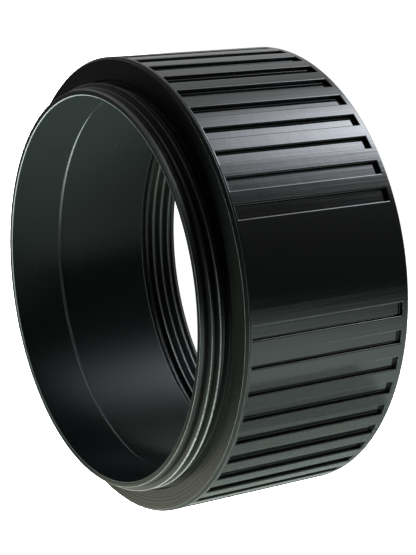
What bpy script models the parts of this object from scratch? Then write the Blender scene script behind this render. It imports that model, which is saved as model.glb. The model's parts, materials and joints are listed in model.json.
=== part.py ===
"""Threaded extension ring for an optical train, built as four separate turned pieces.

The optical axis is +Z. The ring stands on its rear face at Z = 0, and its male
thread points up. The plain band of the grip faces -Y. Lengths are in metres.

grip_sleeve       fluted outer shell of moulded plastic
front_mount       flange, male thread and spigot, one turned piece
inner_tube        plain matt spacer tube behind the spigot
rear_thread_ring  ring with the female thread, seated at the rear of the sleeve
"""

import math

import bmesh
import bpy

MM = 0.001

# Driving dimensions
SLEEVE_RADIUS = 23.5 * MM        # outside of the grip, over its lands
BODY_LENGTH = 18.8 * MM          # rear face to flange face
NOSE_LENGTH = 3.1 * MM           # flange face to the end of the male thread
SEAT_GAP = 0.3 * MM              # clearance between two pieces that seat on each other

# Grip
FLUTE_POSITIONS = 52             # positions all the way round
PLAIN_POSITIONS = 3              # positions without a pocket, centred on -Y
POCKET_WIDTH = 1.58 * MM
POCKET_DEPTH = 0.45 * MM
POCKET_BACKING = 1.0 * MM        # sleeve wall left behind a pocket
SEAT_BACKING = 0.6 * MM          # sleeve wall between a pocket and the flange seat
FRONT_LIP = 0.15 * MM            # sleeve left in front of the pockets
REAR_LIP = 0.62 * MM             # sleeve left behind the pockets
SLEEVE_EDGE = 0.2 * MM           # chamfer on the rear edges

# Threads, metric M42 x 1, right-hand
THREAD_PITCH = 1.0 * MM
THREAD_DEPTH = 0.6134 * THREAD_PITCH
MALE_CREST_RADIUS = 20.95 * MM
FEMALE_ROOT_RADIUS = 21.05 * MM
FEMALE_CREST_RADIUS = FEMALE_ROOT_RADIUS - 0.95 * THREAD_DEPTH
THREAD_RUNOUT = 0.25 * MM        # length over which a thread fades at each end
CREST_FLAT = THREAD_PITCH / 8
ROOT_FLAT = THREAD_PITCH / 4

# Front mount
FRONT_BORE_RADIUS = 19.8 * MM
BORE_EDGE = 0.12 * MM            # chamfer on the edges of the bores
LEAD_LENGTH = 0.72 * MM          # plain tapered nose in front of the male thread
LEAD_RISE = 0.2 * MM             # how much that nose widens
RELIEF_LENGTH = 0.35 * MM        # plain neck between the thread and the flange face
UNDERCUT_DEPTH = 0.2 * MM        # groove in the flange face round the neck
UNDERCUT_MARGIN = 0.2 * MM       # how far that groove reaches past the thread's crest
FLANGE_RIM = 0.35 * MM           # thickness of the flange where it covers the sleeve
FLANGE_EDGE = 0.28 * MM          # chamfer round the flange face
HUB_LENGTH = 1.5 * MM            # flange face to the shoulder that enters the sleeve
SPIGOT_END = 5.9 * MM            # nose end to the spigot's inner end

# Inner tube and rear ring
INNER_BORE_RADIUS = 20.25 * MM
REAR_RING_LENGTH = 4.9 * MM
REAR_RELIEF = 0.65 * MM          # plain groove behind the female thread
REAR_ENTRY = 0.35 * MM           # chamfer at the mouth of the female thread

ROUND_STEPS = 60                 # facets on the turned pieces

# Sizes that follow from the ones above
TOTAL_LENGTH = BODY_LENGTH + NOSE_LENGTH
POCKET_FLOOR_RADIUS = SLEEVE_RADIUS - POCKET_DEPTH
SLEEVE_BORE_RADIUS = POCKET_FLOOR_RADIUS - POCKET_BACKING
SEAT_RADIUS = POCKET_FLOOR_RADIUS - SEAT_BACKING
SLEEVE_FRONT = BODY_LENGTH - FLANGE_RIM - SEAT_GAP
HUB_RADIUS = SEAT_RADIUS - SEAT_GAP
HUB_SHOULDER = BODY_LENGTH - HUB_LENGTH
SEAT_FLOOR = HUB_SHOULDER - SEAT_GAP
LINER_RADIUS = SLEEVE_BORE_RADIUS - SEAT_GAP
SPIGOT_FLOOR = TOTAL_LENGTH - SPIGOT_END
MALE_ROOT_RADIUS = MALE_CREST_RADIUS - THREAD_DEPTH
TUBE_TOP = SPIGOT_FLOOR - SEAT_GAP
TUBE_FLOOR = REAR_RING_LENGTH + SEAT_GAP


def black_finish(name, colour, roughness, metallic):
    """A Principled material with one colour, roughness and metallic value."""
    material = bpy.data.materials.new(name)
    material.use_nodes = True
    shader = material.node_tree.nodes["Principled BSDF"]
    shader.inputs["Base Color"].default_value = (*colour, 1.0)
    shader.inputs["Roughness"].default_value = roughness
    shader.inputs["Metallic"].default_value = metallic
    return material


def ring_object(name, sections, material):
    """Skin closed (radius, height) outlines, one for each angle, into one ring.

    The angles make one full turn, so the last outline lies on the first. Each
    outline runs up the bore and down the outside, and all have the same number
    of points. Points that fall on each other are merged afterwards.
    """
    shape = bmesh.new()
    loops = []
    for angle, outline in sections:
        across, along = math.sin(angle), -math.cos(angle)
        loops.append([shape.verts.new((r * across, r * along, z)) for r, z in outline])
    for here, after in zip(loops, loops[1:]):
        for i in range(len(here)):
            shape.faces.new((here[i - 1], here[i], after[i], after[i - 1]))
    bmesh.ops.dissolve_degenerate(shape, dist=1e-7, edges=shape.edges)
    bmesh.ops.remove_doubles(shape, verts=shape.verts, dist=1e-7)
    bmesh.ops.recalc_face_normals(shape, faces=shape.faces)
    mesh = bpy.data.meshes.new(name)
    shape.to_mesh(mesh)
    shape.free()
    mesh.shade_smooth()
    mesh.set_sharp_from_angle(angle=math.radians(25))
    mesh.materials.append(material)
    ring = bpy.data.objects.new(name, mesh)
    bpy.context.scene.collection.objects.link(ring)
    return ring


def full_turn():
    """Angles of the turned pieces, from 0 to one full turn."""
    return [2 * math.pi * i / ROUND_STEPS for i in range(ROUND_STEPS + 1)]


def thread_points(angle, low, high, root, crest):
    """The thread's side view at one angle, from low to high, as (radius, height).

    The flats and flanks climb one pitch in each turn. Beyond the ends they
    fold onto the end points, and the thread fades in over its run-out.
    """
    flank = (THREAD_PITCH - CREST_FLAT - ROOT_FLAT) / 2
    corners = ((0.0, 0), (flank, 1), (flank + CREST_FLAT, 1), (2 * flank + CREST_FLAT, 0))
    climb = THREAD_PITCH * angle / (2 * math.pi)
    turns = math.ceil((high - low) / THREAD_PITCH) + 1
    points = [(root, low)]
    for turn in range(-1, turns):
        for offset, on_crest in corners:
            height = low + climb + turn * THREAD_PITCH + offset
            inside = min(height - low, high - height)
            fade = min(max(inside / THREAD_RUNOUT, 0.0), 1.0)
            radius = root + (crest - root) * on_crest * fade
            points.append((radius, min(max(height, low), high)))
    points.append((root, high))
    return points


def flute_angles():
    """The angles of a full turn of the grip, as (angle, is it in a pocket)."""
    pitch = 2 * math.pi / FLUTE_POSITIONS
    half_pocket = POCKET_WIDTH / SLEEVE_RADIUS / 2
    half_plain = PLAIN_POSITIONS // 2
    edges = []
    for k in range(FLUTE_POSITIONS):
        has_pocket = half_plain < k < FLUTE_POSITIONS - half_plain
        start, end = k * pitch - half_pocket, k * pitch + half_pocket
        edges += [(start, False), (start, has_pocket), (end, has_pocket), (end, False)]
    return edges + [(edges[0][0] + 2 * math.pi, False)]


def grip_sleeve(material):
    """Outer shell: closed-ended pockets outside, a stepped bore inside."""
    pocket_low, pocket_high = REAR_LIP, SLEEVE_FRONT - FRONT_LIP
    sections = []
    for angle, in_pocket in flute_angles():
        floor = POCKET_FLOOR_RADIUS if in_pocket else SLEEVE_RADIUS
        sections.append((angle, [
            (SLEEVE_BORE_RADIUS + SLEEVE_EDGE, 0.0),
            (SLEEVE_BORE_RADIUS, SLEEVE_EDGE),
            (SLEEVE_BORE_RADIUS, SEAT_FLOOR),
            (SEAT_RADIUS, SEAT_FLOOR),
            (SEAT_RADIUS, SLEEVE_FRONT),
            (SLEEVE_RADIUS, SLEEVE_FRONT),
            (SLEEVE_RADIUS, pocket_high),
            (floor, pocket_high),
            (floor, pocket_low),
            (SLEEVE_RADIUS, pocket_low),
            (SLEEVE_RADIUS, SLEEVE_EDGE),
            (SLEEVE_RADIUS - SLEEVE_EDGE, 0.0),
        ]))
    return ring_object("grip_sleeve", sections, material)


def front_mount(material):
    """Male thread and flange in front, and a hub and spigot inside the sleeve."""
    thread_low = BODY_LENGTH + RELIEF_LENGTH
    thread_high = TOTAL_LENGTH - LEAD_LENGTH
    inner = [
        (FRONT_BORE_RADIUS, SPIGOT_FLOOR + BORE_EDGE),
        (FRONT_BORE_RADIUS, TOTAL_LENGTH - BORE_EDGE),
        (FRONT_BORE_RADIUS + BORE_EDGE, TOTAL_LENGTH),
        (MALE_ROOT_RADIUS, TOTAL_LENGTH),
        (MALE_ROOT_RADIUS + LEAD_RISE, thread_high),
    ]
    face_start = MALE_CREST_RADIUS + UNDERCUT_MARGIN
    outer = [
        (MALE_ROOT_RADIUS, BODY_LENGTH - UNDERCUT_DEPTH),
        (face_start, BODY_LENGTH - UNDERCUT_DEPTH),
        (face_start, BODY_LENGTH),
        (SLEEVE_RADIUS - FLANGE_EDGE, BODY_LENGTH),
        (SLEEVE_RADIUS, BODY_LENGTH - FLANGE_EDGE),
        (SLEEVE_RADIUS, BODY_LENGTH - FLANGE_RIM),
        (HUB_RADIUS, BODY_LENGTH - FLANGE_RIM),
        (HUB_RADIUS, HUB_SHOULDER),
        (LINER_RADIUS, HUB_SHOULDER),
        (LINER_RADIUS, SPIGOT_FLOOR),
        (FRONT_BORE_RADIUS + BORE_EDGE, SPIGOT_FLOOR),
    ]
    sections = []
    for angle in full_turn():
        thread = thread_points(angle, thread_low, thread_high, MALE_ROOT_RADIUS, MALE_CREST_RADIUS)
        sections.append((angle, inner + thread[::-1] + outer))
    return ring_object("front_mount", sections, material)


def inner_tube(material):
    """Plain tube that fills the sleeve between the spigot and the rear ring."""
    outline = [
        (INNER_BORE_RADIUS + BORE_EDGE, TUBE_FLOOR),
        (INNER_BORE_RADIUS, TUBE_FLOOR + BORE_EDGE),
        (INNER_BORE_RADIUS, TUBE_TOP - BORE_EDGE),
        (INNER_BORE_RADIUS + BORE_EDGE, TUBE_TOP),
        (LINER_RADIUS, TUBE_TOP),
        (LINER_RADIUS, TUBE_FLOOR),
    ]
    return ring_object("inner_tube", [(angle, outline) for angle in full_turn()], material)


def rear_thread_ring(material):
    """Ring at the rear with the female thread that takes the next accessory."""
    thread_high = REAR_RING_LENGTH - REAR_RELIEF
    outside = [
        (FEMALE_ROOT_RADIUS, REAR_RING_LENGTH),
        (LINER_RADIUS, REAR_RING_LENGTH),
        (LINER_RADIUS, 0.0),
        (FEMALE_ROOT_RADIUS + BORE_EDGE, 0.0),
    ]
    sections = []
    for angle in full_turn():
        thread = thread_points(angle, REAR_ENTRY, thread_high, FEMALE_ROOT_RADIUS,
                               FEMALE_CREST_RADIUS)
        sections.append((angle, thread + outside))
    return ring_object("rear_thread_ring", sections, material)


def main():
    for old in list(bpy.data.objects):
        bpy.data.objects.remove(old)
    moulded = black_finish("gloss_black_moulded_plastic", (0.012, 0.013, 0.013), 0.16, 0.0)
    anodised = black_finish("matt_black_anodised_aluminium", (0.020, 0.024, 0.022), 0.42, 0.0)
    blackened = black_finish("matt_black_bore_paint", (0.017, 0.020, 0.019), 0.5, 0.0)
    turned_black = black_finish("satin_black_turned_aluminium", (0.022, 0.023, 0.022), 0.34, 0.0)
    grip_sleeve(moulded)
    front_mount(anodised)
    inner_tube(blackened)
    rear_thread_ring(turned_black)


if __name__ == "__main__":
    main()
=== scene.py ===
"""Threaded extension ring for a Barlow or camera train: finished surfaces over the CAD frame.

Laid out as an add-on. Each piece of the ring has an operator that builds it at
its real size, with the fillets, threads and finish of the real piece, in place
of its plain solid in the frame. One more operator builds the stage.
Lengths are in metres, and the optical axis is +Z.
"""

import json
import math

import bmesh
import bpy
from bpy.props import FloatProperty, IntProperty, PointerProperty, StringProperty
from bpy.types import Operator, Panel, PropertyGroup
from mathutils import Euler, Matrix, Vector


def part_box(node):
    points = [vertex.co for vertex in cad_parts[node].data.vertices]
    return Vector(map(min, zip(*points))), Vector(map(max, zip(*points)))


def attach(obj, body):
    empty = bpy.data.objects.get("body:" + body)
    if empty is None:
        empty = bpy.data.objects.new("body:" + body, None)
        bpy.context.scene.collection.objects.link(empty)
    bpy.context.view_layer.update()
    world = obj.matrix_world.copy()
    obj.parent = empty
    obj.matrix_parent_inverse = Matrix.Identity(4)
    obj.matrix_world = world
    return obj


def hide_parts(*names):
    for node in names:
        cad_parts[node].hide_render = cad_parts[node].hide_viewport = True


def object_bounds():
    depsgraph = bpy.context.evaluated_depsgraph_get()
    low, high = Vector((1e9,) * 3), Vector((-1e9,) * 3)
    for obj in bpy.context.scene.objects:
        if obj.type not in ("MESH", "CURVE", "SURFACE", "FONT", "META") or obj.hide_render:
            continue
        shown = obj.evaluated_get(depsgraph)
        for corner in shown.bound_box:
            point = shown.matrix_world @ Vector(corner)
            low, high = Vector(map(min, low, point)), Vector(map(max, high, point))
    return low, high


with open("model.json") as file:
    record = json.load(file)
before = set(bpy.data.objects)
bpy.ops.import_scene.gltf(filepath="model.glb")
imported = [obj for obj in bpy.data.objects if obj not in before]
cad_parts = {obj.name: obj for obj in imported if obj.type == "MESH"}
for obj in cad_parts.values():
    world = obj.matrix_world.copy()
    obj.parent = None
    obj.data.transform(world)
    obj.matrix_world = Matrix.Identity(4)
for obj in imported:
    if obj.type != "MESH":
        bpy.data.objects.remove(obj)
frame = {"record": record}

bl_info = {
    "name": "Threaded extension ring",
    "version": (1, 0, 0),
    "blender": (4, 5, 0),
    "location": "View3D > Sidebar > Extension Ring",
    "description": "Builds a fluted, threaded extension ring for a Barlow or camera train",
    "category": "Object",
}

MM = 0.001
BODY = "root"

CAD_LOW, CAD_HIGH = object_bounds()
MOUNTS = {mount["name"]: Vector(mount["pos_m"]) for mount in frame["record"]["mounts"]}
MOUNT_LOW, MOUNT_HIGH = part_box("front_mount")

FLANGE_FACE = MOUNTS["flange_face"].z
NOSE_END = MOUNT_HIGH.z
SPIGOT_END = MOUNT_LOW.z         # rear end of the front mount, where the inner tube starts
RING_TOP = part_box("rear_thread_ring")[1].z
OUTER_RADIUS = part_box("grip_sleeve")[1].x
LINER_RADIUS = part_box("inner_tube")[1].x     # outside of the three pieces that sit in the sleeve

ROUND_STEPS = 240                # facets round a turned piece
ARC_STEPS = 4                    # facets in a small fillet
SUPPORT = 0.03 * MM              # distance of the edge loop that keeps a face flat beside a fillet
WELD = 0.002 * MM                # points nearer than this are the same point
SEAM = 0.04 * MM                 # hairline left between two pieces pressed together

MOULD_EDGE = 0.06 * MM           # fillet on the sleeve's edges beside the flange
BROKEN_EDGE = 0.05 * MM          # fillet on a turned edge that is only broken
EASED_EDGE = 0.1 * MM            # fillet on a turned edge at the mouth of a bore
SEAT_DROP = 0.9 * MM             # pocket floor down to the step that the flange's hub fills
GROOVE_MARGIN = 0.2 * MM         # how far the groove round the neck reaches past the thread's crest
LINING_MARGIN = 0.2 * MM         # faces this far outside the spigot's bore still belong to it
BACK_SHARE = 0.9                 # brightness of the back bounce card, as a share of the front one's
FEMALE_SHARE = 0.95              # height of the female thread, as a share of the male thread's
MOUNT_FEED = 0.16 * MM           # spacing of the tool marks on the front mount
RING_FEED = 0.12 * MM            # spacing of the tool marks on the rear ring
RING_ROUGHNESS = 0.3

# Greys laid on edges and crests: partly wear and partly painted highlight. The paint's grey is a
# painted highlight.
RUBBED_AND_HIGHLIT_PLASTIC = "#343a37"
RUBBED_AND_HIGHLIT_MOUNT = "#585e5a"
RUBBED_AND_HIGHLIT_RING = "#5a5e5b"
PAINT_EDGE_HIGHLIGHT = "#5c625f"
CLOUDED_OXIDE = "#090c0a"
DUST = "#2c2f2c"


# ---------------------------------------------------------------- sizes and colours

def length(name, text, default):
    """A property that holds a length in metres."""
    return FloatProperty(name=name, description=text, default=default, min=0.0,
                         precision=5, unit="LENGTH")


def ratio(name, text, default, unit="NONE"):
    """A property that holds a plain number from 0 upwards, or one in some other unit."""
    return FloatProperty(name=name, description=text, default=default, min=0.0, unit=unit)


def degrees(name, text, default):
    """A property that holds an angle in degrees."""
    return FloatProperty(name=name, description=text, default=default)


def shade(name, text, default):
    """A property that holds a colour as an sRGB hex value."""
    return StringProperty(name=name, description=text, default=default)


class GripSettings(PropertyGroup):
    """Sizes and finish of the moulded grip sleeve."""

    positions: IntProperty(name="Positions", default=52, min=8,
                           description="Pocket positions all the way round")
    plain: IntProperty(name="Plain positions", default=3, min=0,
                       description="Positions without a pocket, centred on the front")
    pocket_width: length("Pocket width", "Width of a pocket at the lands", 1.58 * MM)
    pocket_depth: length("Pocket depth", "Depth of a pocket below the lands", 0.45 * MM)
    convex: length("Land fillet", "Radius where a land turns into a pocket", 0.13 * MM)
    concave: length("Floor fillet", "Radius where a pocket's wall meets its floor", 0.06 * MM)
    front_lip: length("Front lip", "Sleeve left in front of the pockets", 0.16 * MM)
    rear_lip: length("Rear lip", "Sleeve left behind the pockets", 0.62 * MM)
    edge: length("End fillet", "Radius on the sleeve's outer rear edge", 0.2 * MM)
    colour: shade("Plastic", "Colour of the moulded plastic", "#060807")
    roughness: ratio("Roughness", "Roughness of the moulded skin", 0.11)


class ThreadSettings(PropertyGroup):
    """Sizes shared by the male and the female thread."""

    pitch: length("Pitch", "Distance between two turns", 1.0 * MM)
    male_crest: length("Male crest", "Radius over the male thread", 20.95 * MM)
    female_root: length("Female root", "Radius at the bottom of the female thread", 21.05 * MM)
    depth: length("Depth", "Height of the thread, root to crest", 0.61 * MM)
    run_out: length("Run-out", "Length over which a thread fades at its ends", 0.25 * MM)
    male_start: ratio("Male start", "Turn at which the male thread starts", 0.37)
    female_start: ratio("Female start", "Turn at which the female thread starts", 0.0)
    rows: IntProperty(name="Rows per turn", default=24, min=8,
                      description="Rows of faces across one turn of the thread")


class MountSettings(PropertyGroup):
    """Sizes and finish of the front mount."""

    bore: length("Bore", "Radius of the bore through the nose and spigot", 19.8 * MM)
    nose: length("Nose", "Plain tapered length in front of the thread", 0.72 * MM)
    taper: length("Taper", "How much the nose widens towards the thread", 0.2 * MM)
    neck: length("Neck", "Plain length between the thread and the flange", 0.35 * MM)
    undercut: length("Undercut", "Depth of the groove round the neck", 0.2 * MM)
    rim: length("Rim", "Thickness of the flange at its rim", 0.35 * MM)
    rim_edge: length("Rim chamfer", "Chamfer round the flange face", 0.28 * MM)
    hub: length("Hub", "Flange face to the shoulder inside the sleeve", 1.5 * MM)
    colour: shade("Anodising", "Colour of the anodised aluminium", "#050605")
    roughness: ratio("Roughness", "Roughness of the anodised surface", 0.32)


class BoreSettings(PropertyGroup):
    """Sizes and finish of the inner tube and the rear thread ring."""

    bore: length("Bore", "Radius of the bore through the inner tube", 20.25 * MM)
    relief: length("Relief", "Plain groove behind the female thread", 0.65 * MM)
    seam: length("Seam", "Chamfer on the tube where it meets the spigot", 0.28 * MM)
    entry: length("Entry", "Chamfer at the mouth of the female thread", 0.35 * MM)
    colour: shade("Paint", "Colour of the matt paint in the bore", "#0f1312")
    ring_colour: shade("Ring", "Colour of the rear thread ring", "#0c0e0d")


class StageSettings(PropertyGroup):
    """Floor, light and camera."""

    floor: shade("Floor", "Colour of the floor", "#f4f4f2")
    glow: ratio("Floor glow", "Brightness of the floor by itself", 1.12)
    world: ratio("Surround", "Brightness of the glow in the surround", 0.9)
    key: ratio("Key", "Brightness of the main soft box", 16.0)
    bounce: ratio("Bounce", "Brightness of the bounce cards on the left", 1.85)
    side: ratio("Side", "Power of the side soft box", 6.0, unit="POWER")
    lens: ratio("Lens", "Focal length of the camera", 106.9, unit="CAMERA")
    distance: length("Distance", "Camera to aim point", 175.3 * MM)
    azimuth: degrees("Azimuth", "Camera's bearing from the front, towards +X", 1.4)
    elevation: degrees("Elevation", "Camera's height above the horizon", 30.9)
    roll: degrees("Roll", "Turn of the camera about its own axis", -98.4)


# ---------------------------------------------------------------- node helpers

def linear(hex_colour):
    """An sRGB hex value as a linear RGBA colour."""
    channels = [int(hex_colour[i:i + 2], 16) / 255 for i in (1, 3, 5)]
    toe, slope, offset, gamma = 0.04045, 12.92, 0.055, 2.4
    curve = [c / slope if c <= toe else ((c + offset) / (1 + offset)) ** gamma for c in channels]
    return (*curve, 1.0)


def set_inputs(made, inputs):
    """Set or link a node's inputs, given as a dict by name or number, or as a tuple in order.

    A node given as a value stands for its first output.
    """
    pairs = inputs.items() if isinstance(inputs, dict) else enumerate(inputs)
    for key, value in pairs:
        if isinstance(value, bpy.types.Node):
            value = value.outputs[0]
        if isinstance(value, bpy.types.NodeSocket):
            made.id_data.links.new(value, made.inputs[key])
        else:
            made.inputs[key].default_value = value


def add(tree, kind, inputs=(), **settings):
    """Add a node, set its properties, and fill its inputs with values or links."""
    made = tree.nodes.new(kind)
    for name, value in settings.items():
        setattr(made, name, value)
    set_inputs(made, inputs)
    return made


def new_material(name):
    """An empty Principled material: the material, its tree and its shader."""
    material = bpy.data.materials.new(name)
    material.use_nodes = True
    return material, material.node_tree, material.node_tree.nodes["Principled BSDF"]


def new_object(name, data):
    """A new object that holds some data, linked to the scene."""
    made = bpy.data.objects.new(name, data)
    bpy.context.scene.collection.objects.link(made)
    return made


# ---------------------------------------------------------------- materials

def moulded_plastic(grip):
    """Injection-moulded ABS from a polished tool: deep black, with a tight, slightly wavy gloss.

    The gloss comes from a smooth skin over a 1.53 index. It waves gently every
    2.5 mm, and fine drawn lines run along the axis. The land edges are painted a
    little greyer, a painted highlight along each pocket's edge, and are made a
    little rougher. The sleeve's outer fillets are greyed the same way, partly as
    wear. The lines and the grain of the skin are really too fine to show, so they
    are drawn at 0.3 mm and 0.25 mm.
    """
    material, tree, shader = new_material("gloss_black_moulded_abs")
    place = add(tree, "ShaderNodeTexCoord").outputs["Object"]
    ripple = add(tree, "ShaderNodeTexNoise",
                 {"Vector": place, "Scale": 1 / (2.5 * MM), "Detail": 2.0})
    grain = add(tree, "ShaderNodeTexNoise",
                {"Vector": place, "Scale": 1 / (0.25 * MM), "Detail": 3.0})
    smear = add(tree, "ShaderNodeTexNoise",
                {"Vector": place, "Scale": 1 / (6 * MM), "Detail": 4.0, "Roughness": 0.6})
    worn_and_highlit = add(tree, "ShaderNodeAttribute", attribute_name="wear_and_highlight").outputs["Fac"]
    chips = add(tree, "ShaderNodeMapRange", {"Value": grain, "From Min": 0.5, "From Max": 0.65,
                                             "To Min": 0.3, "To Max": 1.0})
    # Grey on the land edges is a painted highlight. Grey on the end fillets is partly wear.
    rubbed_and_highlit = add(tree, "ShaderNodeMath", (worn_and_highlit, chips), operation="MULTIPLY")
    colour = add(tree, "ShaderNodeMix", {"Factor": rubbed_and_highlit, 6: linear(grip.colour),
                                         7: linear(RUBBED_AND_HIGHLIT_PLASTIC)}, data_type="RGBA").outputs[2]
    rough = add(tree, "ShaderNodeMapRange", {"Value": smear, "From Min": 0.3, "From Max": 0.75,
                                             "To Min": grip.roughness * 0.8,
                                             "To Max": grip.roughness * 1.4})
    rougher = add(tree, "ShaderNodeMath", (rubbed_and_highlit, 0.04, rough), operation="MULTIPLY_ADD")
    drawn = add(tree, "ShaderNodeVectorMath", (place, (1.0, 1.0, 0.02)), operation="MULTIPLY")
    lines = add(tree, "ShaderNodeTexNoise",
                {"Vector": drawn, "Scale": 1 / (0.3 * MM), "Detail": 2.0})
    swept = add(tree, "ShaderNodeBump",
                {"Height": lines, "Strength": 0.6, "Distance": 0.02 * MM})
    wavy = add(tree, "ShaderNodeBump",
               {"Height": ripple, "Strength": 0.25, "Normal": swept, "Distance": 0.04 * MM})
    skin = add(tree, "ShaderNodeBump",
               {"Height": grain, "Strength": 0.25, "Normal": wavy, "Distance": 0.004 * MM})
    set_inputs(shader, {"Base Color": colour, "Roughness": rougher, "Normal": skin, "IOR": 1.53})
    return material


def distance_from_axis(tree, place):
    """The distance from the optical axis, for marks left by turning."""
    flat = add(tree, "ShaderNodeVectorMath", (place, (1.0, 1.0, 0.0)), operation="MULTIPLY")
    return add(tree, "ShaderNodeVectorMath", (flat,), operation="LENGTH").outputs["Value"]


def turned_metal(name, colour, roughness, rubbed_and_highlit_colour, feed):
    """Turned aluminium under black anodising: dull, with fine rings left by the tool.

    The oxide is a dark glassy film, so it reflects like a dielectric. The tool's
    feed marks run round the axis. The film is painted grey on the crests and the
    outer fillets, partly as rub-through and partly as a painted highlight along
    the crest lines.
    The etched grain is really too fine to show, so it is drawn at 0.12 mm.
    """
    material, tree, shader = new_material(name)
    place = add(tree, "ShaderNodeTexCoord").outputs["Object"]
    across = distance_from_axis(tree, place)
    along = add(tree, "ShaderNodeSeparateXYZ", (place,)).outputs["Z"]
    travel = add(tree, "ShaderNodeMath", (across, along), operation="ADD")
    marks = add(tree, "ShaderNodeTexNoise", {"W": travel, "Scale": 1 / feed, "Detail": 3.0,
                                             "Roughness": 0.7}, noise_dimensions="1D")
    grain = add(tree, "ShaderNodeTexNoise",
                {"Vector": place, "Scale": 1 / (0.12 * MM), "Detail": 3.0})
    cloud = add(tree, "ShaderNodeTexNoise",
                {"Vector": place, "Scale": 1 / (5 * MM), "Detail": 4.0})
    worn_and_highlit = add(tree, "ShaderNodeAttribute", attribute_name="wear_and_highlight").outputs["Fac"]
    broken = add(tree, "ShaderNodeMapRange", {"Value": grain, "From Min": 0.35, "From Max": 0.65,
                                              "To Min": 0.3, "To Max": 1.0})
    # Grey on the crests and fillets is partly rub-through and partly a painted highlight.
    rubbed_and_highlit = add(tree, "ShaderNodeMath", (worn_and_highlit, broken), operation="MULTIPLY")
    film = add(tree, "ShaderNodeMix", {"Factor": cloud, 6: linear(colour),
                                       7: linear(CLOUDED_OXIDE)}, data_type="RGBA").outputs[2]
    mixed = add(tree, "ShaderNodeMix", {"Factor": rubbed_and_highlit, 6: film, 7: linear(rubbed_and_highlit_colour)},
                data_type="RGBA").outputs[2]
    rough = add(tree, "ShaderNodeMapRange", {"Value": marks, "From Min": 0.3, "From Max": 0.7,
                                             "To Min": roughness * 0.7,
                                             "To Max": roughness * 1.25})
    rings = add(tree, "ShaderNodeBump",
                {"Height": marks, "Strength": 0.8, "Distance": 0.03 * MM})
    skin = add(tree, "ShaderNodeBump",
               {"Height": grain, "Strength": 0.3, "Normal": rings, "Distance": 0.008 * MM})
    hoop = add(tree, "ShaderNodeVectorMath", ((0.0, 0.0, 1.0), place), operation="CROSS_PRODUCT")
    set_inputs(shader, {"Base Color": mixed, "Roughness": rough, "Normal": skin, "IOR": 1.6,
                        "Tangent": hoop, "Anisotropic": 0.6, "Anisotropic Rotation": 0.25})
    return material


def bore_paint(colour):
    """Matt black paint sprayed into a turned bore, to keep stray light down.

    It is flat when seen square on, and keeps a soft sheen at a low angle, from a
    film of low index. Turning marks show through it, and a few specks of dust lie
    on it. Along the rounded seam and the edges at the mouths it is painted light
    grey, a painted highlight. The spray's pebble is really too fine to show, so it
    is drawn at 0.2 mm.
    """
    material, tree, shader = new_material("matt_black_bore_paint")
    place = add(tree, "ShaderNodeTexCoord").outputs["Object"]
    along = add(tree, "ShaderNodeSeparateXYZ", (place,)).outputs["Z"]
    marks = add(tree, "ShaderNodeTexNoise", {"W": along, "Scale": 1 / (0.15 * MM), "Detail": 2.0},
                noise_dimensions="1D")
    pebble = add(tree, "ShaderNodeTexNoise",
                 {"Vector": place, "Scale": 1 / (0.2 * MM), "Detail": 3.0})
    scatter = add(tree, "ShaderNodeTexNoise",
                  {"Vector": place, "Scale": 1 / (0.5 * MM), "Detail": 1.0})
    specks = add(tree, "ShaderNodeMapRange", {"Value": scatter, "From Min": 0.74, "From Max": 0.8,
                                              "To Max": 0.5})
    dusty = add(tree, "ShaderNodeMix", {"Factor": specks, 6: linear(colour), 7: linear(DUST)},
                data_type="RGBA").outputs[2]
    worn_and_highlit = add(tree, "ShaderNodeAttribute", attribute_name="wear_and_highlight").outputs["Fac"]
    # Light grey on the rounded seam and the mouth edges is a painted highlight.
    mixed = add(tree, "ShaderNodeMix", {"Factor": worn_and_highlit, 6: dusty, 7: linear(PAINT_EDGE_HIGHLIGHT)},
                data_type="RGBA").outputs[2]
    rings = add(tree, "ShaderNodeBump",
                {"Height": marks, "Strength": 0.3, "Distance": 0.01 * MM})
    skin = add(tree, "ShaderNodeBump",
               {"Height": pebble, "Strength": 0.4, "Normal": rings, "Distance": 0.01 * MM})
    set_inputs(shader, {"Base Color": mixed, "Roughness": 0.2, "Normal": skin, "IOR": 1.2})
    return material


# ---------------------------------------------------------------- outlines and turned shapes

def filleted(corners, closed=True):
    """Round the corners of an outline given as (radius, height, fillet).

    Returns (radius, height, wear and highlight) points. This is 1 on the middle
    of an outside fillet, where the materials paint the edge grey, partly as wear
    and partly as a painted highlight. Each fillet has a support point beside it,
    so the next face stays flat.
    The outline runs with its solid on the right.
    """
    points = []
    count = len(corners)
    for i, (r, z, fillet) in enumerate(corners):
        here = Vector((r, z))
        if not fillet or (not closed and i in (0, count - 1)):
            points.append((r, z, 0.0))
            continue
        before = Vector(corners[i - 1][:2]) - here
        after = Vector(corners[(i + 1) % count][:2]) - here
        into, out = before.normalized(), after.normalized()
        turn = math.pi - into.angle(out)
        reach = fillet * math.tan(turn / 2)
        outside = into.x * out.y - into.y * out.x > 0
        start, end = here + into * reach, here + out * reach
        middle = here + (into + out).normalized() * (fillet / math.cos(turn / 2))
        points.append((*(start + into * min(SUPPORT, (before.length - reach) / 3)), 0.0))
        for step in range(ARC_STEPS + 1):
            share = step / ARC_STEPS
            spoke = (start - middle).slerp(end - middle, share) * fillet
            worn_and_highlit = math.sin(math.pi * share) if outside else 0.0
            points.append((*(middle + spoke), worn_and_highlit))
        points.append((*(end + out * min(SUPPORT, (after.length - reach) / 3)), 0.0))
    return points


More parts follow.
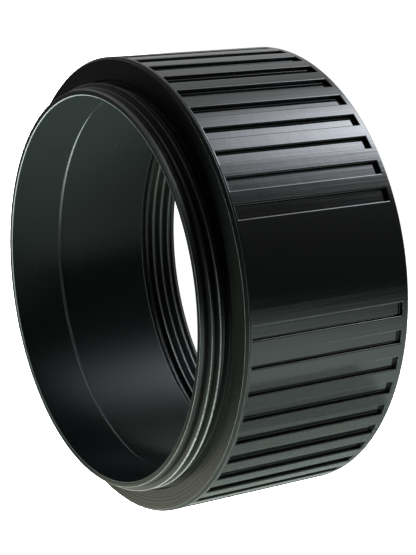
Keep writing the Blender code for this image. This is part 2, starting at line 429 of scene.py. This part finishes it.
def lathe(name, outline, closed=True, angles=None):
    """Turn an outline of (radius, height, wear and painted highlight) round the axis into a new object.
    """
    if angles is None:
        angles = [2 * math.pi * i / ROUND_STEPS for i in range(ROUND_STEPS + 1)]
    shape = bmesh.new()
    wear_and_highlight = shape.verts.layers.float.new("wear_and_highlight")
    rows = []
    for angle in angles:
        row = []
        for r, z, worn_and_highlit in outline:
            made = shape.verts.new((r * math.sin(angle), -r * math.cos(angle), z))
            made[wear_and_highlight] = worn_and_highlit
            row.append(made)
        rows.append(row)
    last = len(outline) if closed else len(outline) - 1
    for here, after in zip(rows, rows[1:]):
        for i in range(last):
            k = (i + 1) % len(outline)
            shape.faces.new((here[i], after[i], after[k], here[k]))
    mesh = bpy.data.meshes.new(name)
    shape.to_mesh(mesh)
    shape.free()
    return new_object(name, mesh)


def line_bore(mesh, lining, radius):
    """Give the faces that look inwards at a bore of some radius a second material."""
    mesh.materials.append(lining)
    for face in mesh.polygons:
        across = Vector((face.center.x, face.center.y))
        inward = face.normal.x * across.x + face.normal.y * across.y < 0
        face.material_index = int(inward and across.length < radius)


def finish_piece(blank, name, nodes):
    """Turn a blank into a plain closed mesh and fit it in place of its CAD nodes."""
    graph = bpy.context.evaluated_depsgraph_get()
    mesh = bpy.data.meshes.new_from_object(blank.evaluated_get(graph),
                                           preserve_all_data_layers=True, depsgraph=graph)
    blank.modifiers.clear()
    bpy.data.objects.remove(blank)
    shape = bmesh.new()
    shape.from_mesh(mesh)
    bmesh.ops.remove_doubles(shape, verts=shape.verts, dist=WELD)
    bmesh.ops.recalc_face_normals(shape, faces=shape.faces)
    open_edges = sum(not edge.is_manifold for edge in shape.edges)
    shape.to_mesh(mesh)
    shape.free()
    if open_edges:
        raise RuntimeError(f"{name} has {open_edges} open edges")
    reach = max(math.hypot(spot.co.x, spot.co.y) for spot in mesh.vertices)
    if reach > OUTER_RADIUS + WELD:
        raise RuntimeError(f"{name} reaches {reach:.5f} m from the axis")
    finish = mesh.materials[mesh.polygons[0].material_index]
    mesh.materials.clear()
    mesh.materials.append(finish)
    mesh.polygons.foreach_set("material_index", [0] * len(mesh.polygons))
    mesh.name = name
    mesh.shade_smooth()
    piece = new_object(name, mesh)
    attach(piece, BODY)
    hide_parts(*nodes)
    return piece


# ---------------------------------------------------------------- geometry node trees

def new_tree(name, sizes):
    """A geometry tree with a Geometry input and named size inputs."""
    tree = bpy.data.node_groups.new(name, "GeometryNodeTree")
    tree.interface.new_socket("Geometry", in_out="INPUT", socket_type="NodeSocketGeometry")
    for label, kind in sizes:
        tree.interface.new_socket(label, in_out="INPUT", socket_type=kind)
    tree.interface.new_socket("Geometry", in_out="OUTPUT", socket_type="NodeSocketGeometry")
    return tree, add(tree, "NodeGroupInput").outputs


def run_tree(blank, tree, values):
    """Put a geometry tree on a blank, with its inputs set by their identifiers."""
    modifier = blank.modifiers.new(tree.name, "NODES")
    sockets = {item.name: item.identifier for item in tree.interface.items_tree
               if item.item_type == "SOCKET" and item.in_out == "INPUT"}
    modifier.node_group = tree
    for label, value in values.items():
        modifier[sockets[label]] = value


def flute_tree():
    """Repeat one sector of the grip round the axis, and press a pocket into each but the plain ones."""
    tree, given = new_tree("flutes_round_a_grip", (
        ("Positions", "NodeSocketInt"),
        ("Plain", "NodeSocketInt"),
        ("Pocket Depth", "NodeSocketFloat"),
        ("Weld", "NodeSocketFloat"),
        ("Material", "NodeSocketMaterial"),
    ))
    points = add(tree, "GeometryNodePoints", {"Count": given["Positions"]})
    index = add(tree, "GeometryNodeInputIndex")
    pitch = add(tree, "ShaderNodeMath", (2 * math.pi, given["Positions"]), operation="DIVIDE")
    angle = add(tree, "ShaderNodeMath", (index, pitch), operation="MULTIPLY")
    turn = add(tree, "ShaderNodeCombineXYZ", {"Z": angle})
    sectors = add(tree, "GeometryNodeInstanceOnPoints",
                  {"Points": points, "Instance": given["Geometry"], "Rotation": turn})
    numbered = add(tree, "GeometryNodeStoreNamedAttribute",
                   {"Geometry": sectors, "Name": "place_in_turn", "Value": index},
                   data_type="FLOAT", domain="INSTANCE")
    real = add(tree, "GeometryNodeRealizeInstances", {"Geometry": numbered})
    number, inset, corner, land_edge_highlight = [
        add(tree, "GeometryNodeInputNamedAttribute", {"Name": name}, data_type="FLOAT")
        for name in ("place_in_turn", "inset", "wear_and_highlight", "land_edge_highlight")]

    other_way = add(tree, "ShaderNodeMath", (given["Positions"], number), operation="SUBTRACT")
    from_plain = add(tree, "ShaderNodeMath", (number, other_way), operation="MINIMUM")
    half_plain = add(tree, "ShaderNodeMath", (given["Plain"], 2.0), operation="DIVIDE")
    fluted = add(tree, "ShaderNodeMath", (from_plain, half_plain), operation="GREATER_THAN")

    # The land edges take a painted highlight, a grey line beside each pocket.
    edge = add(tree, "ShaderNodeMath", (land_edge_highlight, fluted), operation="MULTIPLY")
    worn_and_highlit = add(tree, "ShaderNodeMath", (corner, edge), operation="MAXIMUM")
    rubbed_and_highlit = add(tree, "GeometryNodeStoreNamedAttribute",
                 {"Geometry": real, "Name": "wear_and_highlight", "Value": worn_and_highlit}, data_type="FLOAT")

    share = add(tree, "ShaderNodeMath", (inset, fluted), operation="MULTIPLY")
    press = add(tree, "ShaderNodeMath", (share, given["Pocket Depth"]), operation="MULTIPLY")
    inward = add(tree, "ShaderNodeMath", (press, -1.0), operation="MULTIPLY")
    place = add(tree, "GeometryNodeInputPosition")
    flat = add(tree, "ShaderNodeVectorMath", (place, (1.0, 1.0, 0.0)), operation="MULTIPLY")
    outward = add(tree, "ShaderNodeVectorMath", (flat,), operation="NORMALIZE")
    shift = add(tree, "ShaderNodeVectorMath", {0: outward, "Scale": inward}, operation="SCALE")
    pressed = add(tree, "GeometryNodeSetPosition", {"Geometry": rubbed_and_highlit, "Offset": shift})
    close_up(tree, pressed, given)
    return tree


def close_up(tree, shape, given):
    """End a tree: join its instances, weld its points and give it its material."""
    real = add(tree, "GeometryNodeRealizeInstances", {"Geometry": shape})
    welded = add(tree, "GeometryNodeMergeByDistance", {"Geometry": real, "Distance": given["Weld"]})
    finished = add(tree, "GeometryNodeSetMaterial",
                   {"Geometry": welded, "Material": given["Material"]})
    add(tree, "NodeGroupOutput", {"Geometry": finished})


def thread_tree():
    """Close a turned blank with a helical thread between its two open rims.

    The rows of a grid climb one pitch in each turn. Rows beyond the thread's
    ends fold onto the rims, so the grid always closes the blank.
    """
    tree, given = new_tree("helical_thread", (
        ("Low", "NodeSocketFloat"),
        ("High", "NodeSocketFloat"),
        ("Root", "NodeSocketFloat"),
        ("Crest", "NodeSocketFloat"),
        ("Pitch", "NodeSocketFloat"),
        ("Run Out", "NodeSocketFloat"),
        ("Start", "NodeSocketFloat"),
        ("Steps", "NodeSocketInt"),
        ("Rows", "NodeSocketInt"),
        ("Weld", "NodeSocketFloat"),
        ("Material", "NodeSocketMaterial"),
    ))
    root_flat, crest_flat = 0.25, 0.875  # where the flank starts and ends, root to crest
    spare = 2.0                          # turns of the grid that start below the thread
    sharpness = 20.0                     # how closely the wear and painted highlight keep to the crest

    span = add(tree, "ShaderNodeMath", (given["High"], given["Low"]), operation="SUBTRACT")
    pitches = add(tree, "ShaderNodeMath", (span, given["Pitch"]), operation="DIVIDE")
    whole = add(tree, "ShaderNodeMath", (pitches,), operation="CEIL")
    turns = add(tree, "ShaderNodeMath", (whole, spare), operation="ADD")
    rows = add(tree, "ShaderNodeMath", (turns, given["Rows"]), operation="MULTIPLY")
    points_around = add(tree, "ShaderNodeMath", (given["Steps"], 1.0), operation="ADD")
    points_up = add(tree, "ShaderNodeMath", (rows, 1.0), operation="ADD")
    grid = add(tree, "GeometryNodeMeshGrid", {"Size X": 1.0, "Size Y": 1.0,
                                              "Vertices X": points_around, "Vertices Y": points_up})

    place = add(tree, "GeometryNodeInputPosition")
    split = add(tree, "ShaderNodeSeparateXYZ", (place,)).outputs
    around = add(tree, "ShaderNodeMath", (split["X"], 0.5), operation="ADD")
    from_foot = add(tree, "ShaderNodeMath", (split["Y"], 0.5), operation="ADD")
    up = add(tree, "ShaderNodeMath", (from_foot, turns), operation="MULTIPLY")

    counted = add(tree, "ShaderNodeMath", (up, given["Rows"]), operation="MULTIPLY")
    row = add(tree, "ShaderNodeMath", (counted,), operation="ROUND")
    row_middle = add(tree, "ShaderNodeMath", (row, 0.5), operation="ADD")
    in_turns = add(tree, "ShaderNodeMath", (row_middle, given["Rows"]), operation="DIVIDE")
    phase = add(tree, "ShaderNodeMath", (in_turns,), operation="FRACT")
    doubled = add(tree, "ShaderNodeMath", (phase, 2.0), operation="MULTIPLY")
    centred = add(tree, "ShaderNodeMath", (doubled, 1.0), operation="SUBTRACT")
    folded = add(tree, "ShaderNodeMath", (centred,), operation="ABSOLUTE")
    wave = add(tree, "ShaderNodeMath", (1.0, folded), operation="SUBTRACT")
    flank = add(tree, "ShaderNodeMapRange",
                {"Value": wave, "From Min": root_flat, "From Max": crest_flat})

    above_spare = add(tree, "ShaderNodeMath", (up, spare), operation="SUBTRACT")
    begun = add(tree, "ShaderNodeMath", (above_spare, given["Start"]), operation="ADD")
    wound = add(tree, "ShaderNodeMath", (begun, around), operation="ADD")
    climb = add(tree, "ShaderNodeMath", (wound, given["Pitch"]), operation="MULTIPLY")
    height = add(tree, "ShaderNodeMath", (given["Low"], climb), operation="ADD")
    from_low = add(tree, "ShaderNodeMath", (height, given["Low"]), operation="SUBTRACT")
    to_high = add(tree, "ShaderNodeMath", (given["High"], height), operation="SUBTRACT")
    inside = add(tree, "ShaderNodeMath", (from_low, to_high), operation="MINIMUM")
    fade = add(tree, "ShaderNodeMath", (inside, given["Run Out"]), operation="DIVIDE",
               use_clamp=True)
    lift = add(tree, "ShaderNodeMath", (flank, fade), operation="MULTIPLY")

    rise = add(tree, "ShaderNodeMath", (given["Crest"], given["Root"]), operation="SUBTRACT")
    radius = add(tree, "ShaderNodeMath", (rise, lift, given["Root"]), operation="MULTIPLY_ADD")
    angle = add(tree, "ShaderNodeMath", (around, 2 * math.pi), operation="MULTIPLY")
    sine = add(tree, "ShaderNodeMath", (angle,), operation="SINE")
    cosine = add(tree, "ShaderNodeMath", (angle,), operation="COSINE")
    forward = add(tree, "ShaderNodeMath", (radius, -1.0), operation="MULTIPLY")
    x = add(tree, "ShaderNodeMath", (radius, sine), operation="MULTIPLY")
    y = add(tree, "ShaderNodeMath", (forward, cosine), operation="MULTIPLY")
    capped = add(tree, "ShaderNodeMath", (height, given["High"]), operation="MINIMUM")
    level = add(tree, "ShaderNodeMath", (capped, given["Low"]), operation="MAXIMUM")
    spot = add(tree, "ShaderNodeCombineXYZ", (x, y, level))

    # Lighter grey on the crest is partly rub-through and partly a painted highlight for the crest
    # lines.
    worn_and_highlit = add(tree, "ShaderNodeMath", (lift, sharpness), operation="POWER")
    rubbed_and_highlit = add(tree, "GeometryNodeStoreNamedAttribute",
                 {"Geometry": grid, "Name": "wear_and_highlight", "Value": worn_and_highlit}, data_type="FLOAT")
    coiled = add(tree, "GeometryNodeSetPosition", {"Geometry": rubbed_and_highlit, "Position": spot})
    joined = add(tree, "GeometryNodeJoinGeometry", {"Geometry": coiled})
    set_inputs(joined, {"Geometry": given["Geometry"]})
    close_up(tree, joined, given)
    return tree


def thread_sizes(thread, low, high, root, crest, start, material):
    """The inputs of a thread tree for one of the two threads."""
    return {
        "Low": low,
        "High": high,
        "Root": root,
        "Crest": crest,
        "Start": start,
        "Pitch": thread.pitch,
        "Run Out": thread.run_out,
        "Steps": ROUND_STEPS,
        "Rows": thread.rows,
        "Weld": WELD,
        "Material": material,
    }


# ---------------------------------------------------------------- grip sleeve

def pocket_wall(grip):
    """Side view of a pocket's wall as (distance from the land edge, share of the depth)."""
    draft = math.radians(85)         # the mould's draft leaves the wall five degrees off square
    fall = 1 - math.cos(draft)
    straight = (grip.pocket_depth - (grip.convex + grip.concave) * fall) / math.sin(draft)
    run = (grip.convex + grip.concave) * math.sin(draft) + straight * math.cos(draft)
    points = [(-SUPPORT, 0.0)]
    for step in range(ARC_STEPS + 1):
        angle = draft * step / ARC_STEPS
        points.append((grip.convex * math.sin(angle),
                       grip.convex * (1 - math.cos(angle)) / grip.pocket_depth))
    for step in range(ARC_STEPS, -1, -1):
        angle = draft * step / ARC_STEPS
        points.append((run - grip.concave * math.sin(angle),
                       1 - grip.concave * (1 - math.cos(angle)) / grip.pocket_depth))
    points.append((run + SUPPORT, 1.0))
    return points


def sector_columns(grip):
    """The columns of one sector, as (distance round the grip, pocket depth share)."""
    half_pitch = math.pi * OUTER_RADIUS / grip.positions
    half_pocket = grip.pocket_width / 2
    wall = pocket_wall(grip)
    left = [(d - half_pocket, share) for d, share in wall]
    right = [(half_pocket - d, share) for d, share in reversed(wall)]
    return [(-half_pitch, 0.0), *left, (0.0, 1.0), *right, (half_pitch, 0.0)]


def hub_radius(grip):
    """Outside of the flange's hub, which stays under the floors of the pockets."""
    return OUTER_RADIUS - grip.pocket_depth - SEAT_DROP


def sleeve_outline(grip, mount):
    """Cross-section of the sleeve as (radius, height, wear and painted highlight, pocket depth share).
    """
    front = FLANGE_FACE - mount.rim - SEAM
    seat = hub_radius(grip) + SEAM
    seat_floor = FLANGE_FACE - mount.hub - SEAM
    bore = LINER_RADIUS + SEAM
    shell = filleted((
        (OUTER_RADIUS, front, MOULD_EDGE),
        (OUTER_RADIUS, 0.0, grip.edge),
        (bore, 0.0, 0.15 * MM),
        (bore, seat_floor, 0.1 * MM),
        (seat, seat_floor, 0.0),
        (seat, front, MOULD_EDGE),
    ))
    top = front - grip.front_lip
    walls = pocket_wall(grip)
    rows = [(OUTER_RADIUS, top - d, 0.0, share) for d, share in walls]
    rows += [(OUTER_RADIUS, grip.rear_lip + d, 0.0, share) for d, share in reversed(walls)]
    first = 2 + ARC_STEPS + 1        # points of the first corner: its fillet and a support each side
    points = [(r, z, worn_and_highlit, 0.0) for r, z, worn_and_highlit in shell]
    return points[:first] + rows + points[first:]


def sector_blank(grip, mount):
    """One sector of the grip, with no pocket yet, and the pocket's shape as an attribute."""
    outline = sleeve_outline(grip, mount)
    columns = sector_columns(grip)
    blank = lathe("grip_sector", [point[:3] for point in outline],
                  angles=[around / OUTER_RADIUS for around, _ in columns])
    inset = blank.data.attributes.new("inset", "FLOAT", "POINT")
    shares = [min(across, point[3]) for _, across in columns for point in outline]
    inset.data.foreach_set("value", shares)
    # Painted highlight: the land fillet is greyed along each pocket's edge, in place of the glint on
    # it.
    fall = grip.convex / grip.pocket_depth       # share of the depth taken by the land fillet
    middle = 0.3                                 # how far down that fillet the painted highlight is strongest
    rubbed_and_highlit = [max(0.0, 1.0 - abs(share / fall - middle) / middle) for share in shares]
    blank.data.attributes.new("land_edge_highlight", "FLOAT", "POINT").data.foreach_set("value", rubbed_and_highlit)
    return blank


# ---------------------------------------------------------------- operators

class RING_OT_grip_sleeve(Operator):
    """Build the moulded grip sleeve with its pockets"""

    bl_idname = "ring.grip_sleeve"
    bl_label = "Grip sleeve"

    def execute(self, context):
        grip = context.scene.ring_grip
        blank = sector_blank(grip, context.scene.ring_mount)
        run_tree(blank, flute_tree(), {
            "Positions": grip.positions,
            "Plain": grip.plain,
            "Pocket Depth": grip.pocket_depth,
            "Weld": WELD,
            "Material": moulded_plastic(grip),
        })
        finish_piece(blank, "fluted_grip_sleeve", ["grip_sleeve"])
        return {"FINISHED"}


class RING_OT_front_mount(Operator):
    """Build the front mount with its flange and male thread"""

    bl_idname = "ring.front_mount"
    bl_label = "Front mount"

    def execute(self, context):
        mount, thread = context.scene.ring_mount, context.scene.ring_thread
        root = thread.male_crest - thread.depth
        low, high = FLANGE_FACE + mount.neck, NOSE_END - mount.nose
        under_rim = FLANGE_FACE - mount.rim
        shoulder = FLANGE_FACE - mount.hub
        hub = hub_radius(context.scene.ring_grip)
        groove = thread.male_crest + GROOVE_MARGIN
        outline = filleted((
            (root, low, 0.0),
            (root, FLANGE_FACE - mount.undercut, 0.08 * MM),
            (groove, FLANGE_FACE - mount.undercut, BROKEN_EDGE),
            (groove, FLANGE_FACE, BROKEN_EDGE),
            (OUTER_RADIUS - mount.rim_edge, FLANGE_FACE, BROKEN_EDGE),
            (OUTER_RADIUS, FLANGE_FACE - mount.rim_edge, 0.03 * MM),
            (OUTER_RADIUS, under_rim, 0.0),
            (hub, under_rim, 0.0),
            (hub, shoulder, 0.0),
            (LINER_RADIUS, shoulder, 0.0),
            (LINER_RADIUS, SPIGOT_END, BROKEN_EDGE),
            (mount.bore, SPIGOT_END, 0.12 * MM),
            (mount.bore, NOSE_END, EASED_EDGE),
            (root, NOSE_END, BROKEN_EDGE),
            (root + mount.taper, high, 0.0),
            (root, high, 0.0),
        ), closed=False)
        blank = lathe("mount_blank", outline, closed=False)
        finish = turned_metal("matt_black_anodised_aluminium", mount.colour, mount.roughness,
                              RUBBED_AND_HIGHLIT_MOUNT, MOUNT_FEED)
        run_tree(blank, thread_tree(), thread_sizes(thread, low, high, root, thread.male_crest,
                                                    thread.male_start, finish))
        piece = finish_piece(blank, "flange_and_male_thread", ["front_mount"])
        line_bore(piece.data, bore_paint(context.scene.ring_bore.colour),
                  mount.bore + LINING_MARGIN)
        return {"FINISHED"}


class RING_OT_inner_tube(Operator):
    """Build the matt inner tube between the two threaded pieces"""

    bl_idname = "ring.inner_tube"
    bl_label = "Inner tube"

    def execute(self, context):
        bore = context.scene.ring_bore
        top, floor = SPIGOT_END - SEAM, RING_TOP + SEAM
        # The paint greys this rounded seam as a painted highlight.
        seam_fillet = 0.35 * MM
        outline = filleted((
            (LINER_RADIUS, top, BROKEN_EDGE),
            (LINER_RADIUS, floor, BROKEN_EDGE),
            (bore.bore, floor, EASED_EDGE),
            (bore.bore, top - bore.seam, seam_fillet),
            (bore.bore + bore.seam, top, seam_fillet),
        ))
        blank = lathe("tube_blank", outline)
        blank.data.materials.append(bore_paint(bore.colour))
        finish_piece(blank, "painted_inner_tube", ["inner_tube"])
        return {"FINISHED"}


class RING_OT_rear_thread_ring(Operator):
    """Build the rear ring with its female thread"""

    bl_idname = "ring.rear_thread_ring"
    bl_label = "Rear thread ring"

    def execute(self, context):
        bore, thread = context.scene.ring_bore, context.scene.ring_thread
        high = RING_TOP - bore.relief
        flare = 0.12 * MM            # how much the entry chamfer widens the mouth
        outline = filleted((
            (thread.female_root, high, 0.0),
            (thread.female_root, RING_TOP, BROKEN_EDGE),
            (LINER_RADIUS, RING_TOP, BROKEN_EDGE),
            (LINER_RADIUS, 0.0, 0.1 * MM),
            (thread.female_root + flare, 0.0, BROKEN_EDGE),
            (thread.female_root, bore.entry, 0.0),
        ), closed=False)
        blank = lathe("ring_blank", outline, closed=False)
        crest = thread.female_root - thread.depth * FEMALE_SHARE
        finish = turned_metal("satin_black_turned_aluminium", bore.ring_colour, RING_ROUGHNESS,
                              RUBBED_AND_HIGHLIT_RING, RING_FEED)
        run_tree(blank, thread_tree(), thread_sizes(thread, bore.entry, high, thread.female_root,
                                                    crest, thread.female_start, finish))
        finish_piece(blank, "rear_female_thread_ring", ["rear_thread_ring"])
        return {"FINISHED"}


def aimed(bearing, rise):
    """The unit direction at a bearing from the front towards +X, and a rise above level."""
    turn, lift = math.radians(bearing), math.radians(rise)
    return Vector((math.sin(turn) * math.cos(lift), -math.cos(turn) * math.cos(lift),
                   math.sin(lift)))


def falloff(tree, distance, spread):
    """A soft fall from 1 to 0 with distance, as a bell curve."""
    share = add(tree, "ShaderNodeMath", (distance, spread), operation="DIVIDE")
    squared = add(tree, "ShaderNodeMath", (share, 2.0), operation="POWER")
    halved = add(tree, "ShaderNodeMath", (squared, -0.5), operation="MULTIPLY")
    return add(tree, "ShaderNodeMath", (halved,), operation="EXPONENT")


def sheet(name, half_width, half_height):
    """A flat sheet in the scene, centred on its own origin."""
    shape = bmesh.new()
    bmesh.ops.create_grid(shape, x_segments=1, y_segments=1, size=1.0)
    bmesh.ops.scale(shape, vec=(half_width, half_height, 1.0), verts=shape.verts)
    mesh = bpy.data.meshes.new(name)
    shape.to_mesh(mesh)
    shape.free()
    return new_object(name, mesh)


def soft_card(name, place, aim, wide, tall, strength, colour):
    """A glowing card, brightest in its middle. It shows in reflections, and is never seen itself."""
    reach = 3.0                  # the glow has faded out at three times its spread
    card = sheet(name, reach * wide, reach * tall)
    card.location = place
    card.rotation_euler = (Vector(aim) - Vector(place)).to_track_quat("Z", "Y").to_euler()
    material = bpy.data.materials.new(name + "_diffuser")
    material.use_nodes = True
    tree = material.node_tree
    spot = add(tree, "ShaderNodeTexCoord").outputs["Object"]
    scaled = add(tree, "ShaderNodeVectorMath", (spot, (wide, tall, 1.0)), operation="DIVIDE")
    distance = add(tree, "ShaderNodeVectorMath", (scaled,), operation="LENGTH").outputs["Value"]
    power = add(tree, "ShaderNodeMath", (falloff(tree, distance, 1.0), strength),
                operation="MULTIPLY")
    glow = add(tree, "ShaderNodeEmission", {"Color": linear(colour), "Strength": power})
    clear = add(tree, "ShaderNodeBsdfTransparent")
    both = add(tree, "ShaderNodeAddShader", (glow, clear))
    set_inputs(tree.nodes["Material Output"], {"Surface": both})
    card.data.materials.append(material)
    card.visible_camera = card.visible_shadow = False


def soft_panel(name, place, aim, size, power):
    """A square area light turned to face a point. It lights matt surfaces and leaves no reflection."""
    light = bpy.data.lights.new(name, "AREA")
    light.size = size
    light.energy = power
    holder = new_object(name, light)
    holder.location = place
    holder.rotation_euler = (Vector(aim) - Vector(place)).to_track_quat("-Z", "Y").to_euler()
    holder.visible_glossy = False


def pale_floor(colour, glow):
    """A wide plain floor of white acrylic that glows by itself, so that it carries no shadow.

    Only the camera sees it, so light from below its level still reaches the ring.
    """
    reach = 3.0                  # half its width, in metres
    floor = sheet("pale_floor", reach, reach)
    floor.location.z = -0.02 * MM    # a hair under the ring, so the two never share a plane
    material, _, shader = new_material("white_acrylic_floor")
    set_inputs(shader, {"Base Color": linear(colour), "Roughness": 0.9,
                        "Emission Color": linear(colour), "Emission Strength": glow})
    floor.data.materials.append(material)
    floor.visible_glossy = floor.visible_diffuse = floor.visible_shadow = False


def surround(strength):
    """A dim studio: pale to the camera, with a soft grey glow low on the right and a little behind."""
    world = bpy.data.worlds.new("studio_surround")
    world.use_nodes = True
    tree = world.node_tree
    spread, dark = 0.6, 0.01     # width of the glow, and the level everywhere else
    ray = add(tree, "ShaderNodeTexCoord").outputs["Generated"]
    bearing = add(tree, "ShaderNodeVectorMath", (ray, aimed(115, -45)), operation="SUBTRACT")
    apart = add(tree, "ShaderNodeVectorMath", (bearing,), operation="LENGTH").outputs["Value"]
    dim = add(tree, "ShaderNodeMath", (falloff(tree, apart, spread), strength, dark),
              operation="MULTIPLY_ADD")
    seen = add(tree, "ShaderNodeLightPath").outputs["Is Camera Ray"]
    level = add(tree, "ShaderNodeMix", {"Factor": seen, 2: dim, 3: 1.0})
    set_inputs(tree.nodes["Background"], {"Color": linear("#f4f6f6"), "Strength": level})
    return world


class RING_OT_stage(Operator):
    """Build the floor, the soft lights and the camera"""

    bl_idname = "ring.stage"
    bl_label = "Stage"

    def execute(self, context):
        stage = context.scene.ring_stage
        scene = context.scene
        pale_floor(stage.floor, stage.glow)
        scene.world = surround(stage.world)
        scene.view_settings.view_transform = "Standard"
        centre = Vector((0.0, 0.0, CAD_HIGH.z / 2))
        soft_card("key_softbox", centre + aimed(64, -43) * 300 * MM, centre, 55 * MM, 43 * MM,
                  stage.key, "#f0f5ff")
        across = Vector((1.0, 0.0, 0.0))
        front_place = Vector((-28, -33, -5)) * MM
        soft_card("front_bounce_card", front_place, front_place + across, 30 * MM, 30 * MM,
                  stage.bounce, "#e0f2e9")
        back_place = Vector((-28, 22, 45)) * MM
        soft_card("back_bounce_card", back_place, back_place + across, 18 * MM, 18 * MM,
                  stage.bounce * BACK_SHARE, "#f6f4dc")
        soft_panel("side_softbox", centre + aimed(-95, 30) * 250 * MM, centre, 150 * MM, stage.side)
        camera = bpy.data.cameras.new("camera")
        camera.lens = stage.lens
        camera.sensor_width = 36.0
        camera.clip_start, camera.clip_end = 5 * MM, 20.0
        holder = new_object("camera", camera)
        aim = Vector((-0.41, 0.06, 8.4)) * MM
        towards = aimed(stage.azimuth, stage.elevation)
        holder.location = aim + towards * stage.distance
        level = (-towards).to_track_quat("-Z", "Y")
        roll = Euler((0.0, 0.0, math.radians(stage.roll))).to_quaternion()
        holder.rotation_euler = (level @ roll).to_euler()
        scene.camera = holder
        return {"FINISHED"}


class RING_PT_panel(Panel):
    """Sidebar panel with the sizes and the builders"""

    bl_idname = "RING_PT_panel"
    bl_label = "Extension ring"
    bl_space_type = "VIEW_3D"
    bl_region_type = "UI"
    bl_category = "Extension Ring"

    def draw(self, context):
        for group, holder in GROUPS.items():
            box = self.layout.box()
            box.label(text=holder.__doc__)
            settings = getattr(context.scene, group)
            for name in holder.__annotations__:
                box.prop(settings, name)
        for builder in BUILDERS:
            self.layout.operator(builder.bl_idname)


GROUPS = {
    "ring_grip": GripSettings,
    "ring_thread": ThreadSettings,
    "ring_mount": MountSettings,
    "ring_bore": BoreSettings,
    "ring_stage": StageSettings,
}
BUILDERS = (RING_OT_grip_sleeve, RING_OT_front_mount, RING_OT_inner_tube,
            RING_OT_rear_thread_ring, RING_OT_stage)


def register():
    """Register the settings, the operators and the panel."""
    for group, holder in GROUPS.items():
        bpy.utils.register_class(holder)
        setattr(bpy.types.Scene, group, PointerProperty(type=holder))
    for builder in (*BUILDERS, RING_PT_panel):
        bpy.utils.register_class(builder)


def unregister():
    """Remove everything that register added."""
    for builder in (RING_PT_panel, *reversed(BUILDERS)):
        bpy.utils.unregister_class(builder)
    for group, holder in GROUPS.items():
        delattr(bpy.types.Scene, group)
        bpy.utils.unregister_class(holder)


def main():
    """Register the add-on, then build every piece and the stage."""
    register()
    bpy.ops.ring.grip_sleeve()
    bpy.ops.ring.front_mount()
    bpy.ops.ring.inner_tube()
    bpy.ops.ring.rear_thread_ring()
    bpy.ops.ring.stage()


if __name__ == "__main__":
    main()
